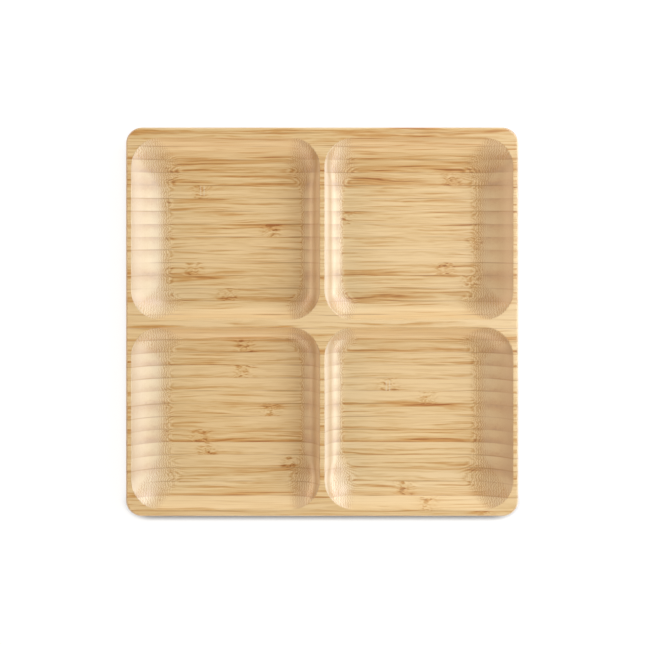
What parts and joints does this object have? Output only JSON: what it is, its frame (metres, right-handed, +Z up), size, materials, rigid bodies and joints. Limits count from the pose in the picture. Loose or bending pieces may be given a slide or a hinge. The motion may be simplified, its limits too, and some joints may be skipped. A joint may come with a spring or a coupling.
{
  "type": "divided compartment plate",
  "caption": "Square laminated bamboo plate with a grid of rounded compartments, hollow walls and narrow dividers, resting flat on its underside.",
  "frame": {"origin": "middle of the plate's underside, on the surface that it rests on", "axes": "+X along the bamboo strips, to the right as seen from above, +Y towards the back rim, which is the wider one, +Z up out of the compartments"},
  "size_m": [0.205, 0.203, 0.016],
  "materials": {
    "bamboo": "laminated bamboo, sanded and oiled"
  },
  "bodies": {
    "root": {"bamboo_strip_01": "bamboo", "bamboo_strip_02": "bamboo", "bamboo_strip_03": "bamboo", "bamboo_strip_04": "bamboo", "bamboo_strip_05": "bamboo", "bamboo_strip_06": "bamboo", "bamboo_strip_07": "bamboo", "bamboo_strip_08": "bamboo", "bamboo_strip_09": "bamboo", "bamboo_strip_10": "bamboo", "bamboo_strip_11": "bamboo", "bamboo_strip_12": "bamboo", "bamboo_strip_13": "bamboo", "bamboo_strip_14": "bamboo", "bamboo_strip_15": "bamboo", "bamboo_strip_16": "bamboo", "bamboo_strip_17": "bamboo", "bamboo_strip_18": "bamboo", "bamboo_strip_19": "bamboo", "bamboo_strip_20": "bamboo", "bamboo_strip_21": "bamboo", "bamboo_strip_22": "bamboo", "bamboo_strip_23": "bamboo", "bamboo_strip_24": "bamboo", "bamboo_strip_25": "bamboo", "bamboo_strip_26": "bamboo", "bamboo_strip_27": "bamboo", "bamboo_strip_28": "bamboo", "bamboo_strip_29": "bamboo", "bamboo_strip_30": "bamboo", "bamboo_strip_31": "bamboo"}
  },
  "joints": []
}
